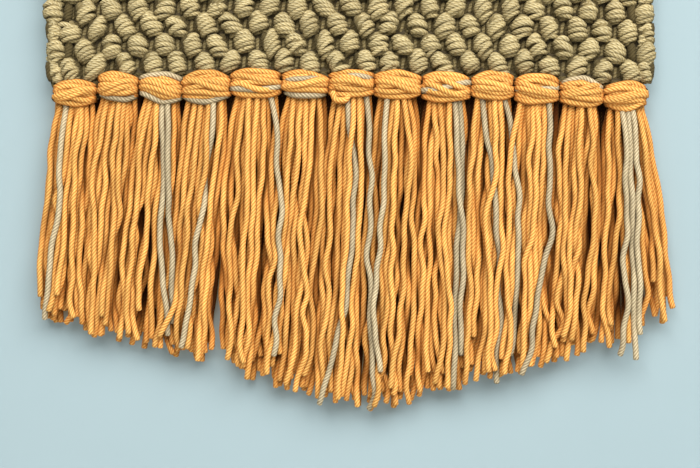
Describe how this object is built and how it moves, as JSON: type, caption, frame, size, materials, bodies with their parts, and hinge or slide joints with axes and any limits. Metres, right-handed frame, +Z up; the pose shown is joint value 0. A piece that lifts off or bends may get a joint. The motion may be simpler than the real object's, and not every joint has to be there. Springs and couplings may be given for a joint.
{
  "type": "knitted wall hanging",
  "caption": "Rectangular wall hanging of chunky moss-stitch knitting with a row of yarn tassels hitched along its lower edge, trimmed to a shallow V.",
  "frame": {"origin": "middle of the panel's top edge, where the hanging is held up", "axes": "+X to the right along the top edge, +Y from the face back to the wall, +Z up"},
  "size_m": [0.3162, 0.0147, 0.2874],
  "materials": {
    "olive_yarn": "matt plied wool, olive khaki",
    "mustard_yarn": "matt plied wool, mustard with a few beige strands"
  },
  "bodies": {
    "root": {"knitted_panel": "olive_yarn", "tassel_01": "mustard_yarn", "tassel_02": "mustard_yarn", "tassel_03": "mustard_yarn", "tassel_04": "mustard_yarn", "tassel_05": "mustard_yarn", "tassel_06": "mustard_yarn", "tassel_07": "mustard_yarn", "tassel_08": "mustard_yarn", "tassel_09": "mustard_yarn", "tassel_10": "mustard_yarn", "tassel_11": "mustard_yarn", "tassel_12": "mustard_yarn", "tassel_13": "mustard_yarn"}
  },
  "joints": []
}
